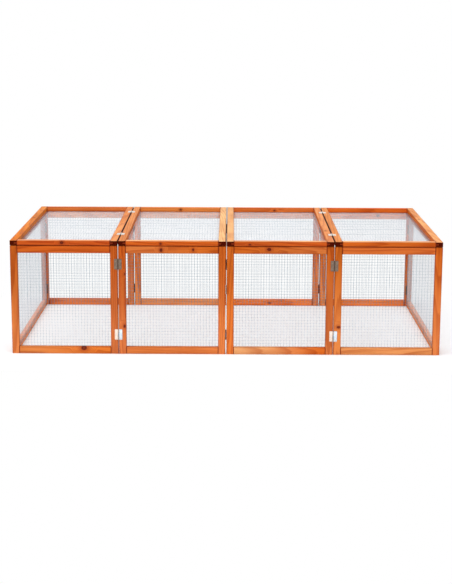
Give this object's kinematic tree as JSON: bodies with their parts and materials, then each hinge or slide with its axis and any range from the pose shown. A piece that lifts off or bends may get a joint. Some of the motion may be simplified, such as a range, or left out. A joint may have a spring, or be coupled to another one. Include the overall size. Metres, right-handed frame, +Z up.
{
  "type": "outdoor rabbit run",
  "caption": "Folding outdoor rabbit run: stained timber frames with welded wire mesh, hinged walls that fold to a flat stack, and lift-off roof lids whose leaves fold back.",
  "frame": {"origin": "on the ground, under the middle of the run", "axes": "+X along the run's length to the right end, +Y from the front wall to the back wall, +Z up"},
  "size_m": [1.81, 1.0096, 0.4898],
  "materials": {
    "stained_fir": "orange-brown stained softwood, satin, with open end grain",
    "mesh_wire": "dull galvanised welded wire",
    "hinge_zinc": "bright zinc-plated pressed steel"
  },
  "bodies": {
    "left_end": {"left_end_frame": "stained_fir", "left_end_mesh": "mesh_wire"},
    "front_1": {"front_1_frame": "stained_fir", "front_1_mesh": "mesh_wire", "front_1_corner_hinge_lower_pin_leaf": "hinge_zinc", "front_1_corner_hinge_upper_pin_leaf": "hinge_zinc", "front_hinge_12_lower_pin_leaf": "hinge_zinc", "front_hinge_12_upper_pin_leaf": "hinge_zinc"},
    "front_2": {"front_2_frame": "stained_fir", "front_2_mesh": "mesh_wire", "front_hinge_12_lower_bore_leaf": "hinge_zinc", "front_hinge_12_upper_bore_leaf": "hinge_zinc", "front_hinge_23_lower_pin_leaf": "hinge_zinc", "front_hinge_23_upper_pin_leaf": "hinge_zinc"},
    "front_3": {"front_3_frame": "stained_fir", "front_3_mesh": "mesh_wire", "front_hinge_34_lower_pin_leaf": "hinge_zinc", "front_hinge_34_upper_pin_leaf": "hinge_zinc"},
    "front_4": {"front_4_frame": "stained_fir", "front_4_mesh": "mesh_wire", "front_4_corner_hinge_lower_pin_leaf": "hinge_zinc", "front_4_corner_hinge_upper_pin_leaf": "hinge_zinc", "front_hinge_34_lower_bore_leaf": "hinge_zinc", "front_hinge_34_upper_bore_leaf": "hinge_zinc"},
    "back_1": {"back_1_frame": "stained_fir", "back_1_mesh": "mesh_wire", "back_1_corner_hinge_lower_pin_leaf": "hinge_zinc", "back_1_corner_hinge_upper_pin_leaf": "hinge_zinc", "back_hinge_12_lower_pin_leaf": "hinge_zinc", "back_hinge_12_upper_pin_leaf": "hinge_zinc"},
    "back_2": {"back_2_frame": "stained_fir", "back_2_mesh": "mesh_wire", "back_hinge_23_lower_pin_leaf": "hinge_zinc", "back_hinge_23_upper_pin_leaf": "hinge_zinc"},
    "back_3": {"back_3_frame": "stained_fir", "back_3_mesh": "mesh_wire", "back_hinge_34_lower_pin_leaf": "hinge_zinc", "back_hinge_34_upper_pin_leaf": "hinge_zinc"},
    "back_4": {"back_4_frame": "stained_fir", "back_4_mesh": "mesh_wire", "back_4_corner_hinge_lower_pin_leaf": "hinge_zinc", "back_4_corner_hinge_upper_pin_leaf": "hinge_zinc"},
    "right_end": {"right_end_frame": "stained_fir", "right_end_mesh": "mesh_wire"},
    "roof_1": {"roof_1_frame": "stained_fir", "roof_1_mesh": "mesh_wire", "roof_hinge_12_near_pin_leaf": "hinge_zinc", "roof_hinge_12_far_pin_leaf": "hinge_zinc"},
    "roof_2": {"roof_2_frame": "stained_fir", "roof_2_mesh": "mesh_wire", "roof_hinge_12_near_bore_leaf": "hinge_zinc", "roof_hinge_12_far_bore_leaf": "hinge_zinc"},
    "roof_3": {"roof_3_frame": "stained_fir", "roof_3_mesh": "mesh_wire", "roof_hinge_34_near_pin_leaf": "hinge_zinc", "roof_hinge_34_far_pin_leaf": "hinge_zinc"},
    "roof_4": {"roof_4_frame": "stained_fir", "roof_4_mesh": "mesh_wire", "roof_hinge_34_near_bore_leaf": "hinge_zinc", "roof_hinge_34_far_bore_leaf": "hinge_zinc"}
  },
  "joints": [
    {"name": "wall_fold", "type": "hinge", "parent": "left_end", "child": "front_1", "pos_m": [-0.8822, -0.4772, 0], "axis": [0, 0, 1], "range_deg": [0, 90]},
    {"name": "front_seam_12", "type": "hinge", "parent": "front_1", "child": "front_2", "pos_m": [-0.45375, -0.5025, 0], "axis": [0, 0, 1], "range_deg": [-180, 0]},
    {"name": "front_seam_23", "type": "hinge", "parent": "front_2", "child": "front_3", "pos_m": [0, -0.4775, 0], "axis": [0, 0, 1], "range_deg": [0, 180]},
    {"name": "front_seam_34", "type": "hinge", "parent": "front_3", "child": "front_4", "pos_m": [0.45375, -0.5025, 0], "axis": [0, 0, 1], "range_deg": [-180, 0]},
    {"name": "front_right_corner", "type": "hinge", "parent": "front_4", "child": "right_end", "pos_m": [0.8822, -0.4772, 0], "axis": [0, 0, 1], "range_deg": [0, 90]},
    {"name": "back_left_corner", "type": "hinge", "parent": "left_end", "child": "back_1", "pos_m": [-0.8822, 0.4772, 0], "axis": [0, 0, 1], "range_deg": [-90, 0]},
    {"name": "back_seam_12", "type": "hinge", "parent": "back_1", "child": "back_2", "pos_m": [-0.45375, 0.5025, 0], "axis": [0, 0, 1], "range_deg": [0, 180]},
    {"name": "back_seam_23", "type": "hinge", "parent": "back_2", "child": "back_3", "pos_m": [0, 0.4775, 0], "axis": [0, 0, 1], "range_deg": [-180, 0]},
    {"name": "back_seam_34", "type": "hinge", "parent": "back_3", "child": "back_4", "pos_m": [0.45375, 0.5025, 0], "axis": [0, 0, 1], "range_deg": [0, 180]},
    {"name": "left_lid_lift", "type": "slide", "parent": "left_end", "child": "roof_2", "axis": [0, 0, 1], "range_m": [0, 0.3]},
    {"name": "left_leaf_open", "type": "hinge", "parent": "roof_2", "child": "roof_1", "pos_m": [-0.45375, 0, 0.4875], "axis": [0, 1, 0], "range_deg": [0, 180]},
    {"name": "right_lid_lift", "type": "slide", "parent": "left_end", "child": "roof_3", "axis": [0, 0, 1], "range_m": [0, 0.3]},
    {"name": "right_leaf_open", "type": "hinge", "parent": "roof_3", "child": "roof_4", "pos_m": [0.45375, 0, 0.4875], "axis": [0, -1, 0], "range_deg": [0, 180]}
  ],
  "couplings": [
    {"joint": "front_seam_12", "follows": "wall_fold", "ratio": -2},
    {"joint": "front_seam_23", "follows": "wall_fold", "ratio": 2},
    {"joint": "front_seam_34", "follows": "wall_fold", "ratio": -2},
    {"joint": "front_right_corner", "follows": "wall_fold", "ratio": 1},
    {"joint": "back_left_corner", "follows": "wall_fold", "ratio": -1},
    {"joint": "back_seam_12", "follows": "wall_fold", "ratio": 2},
    {"joint": "back_seam_23", "follows": "wall_fold", "ratio": -2},
    {"joint": "back_seam_34", "follows": "wall_fold", "ratio": 2}
  ]
}
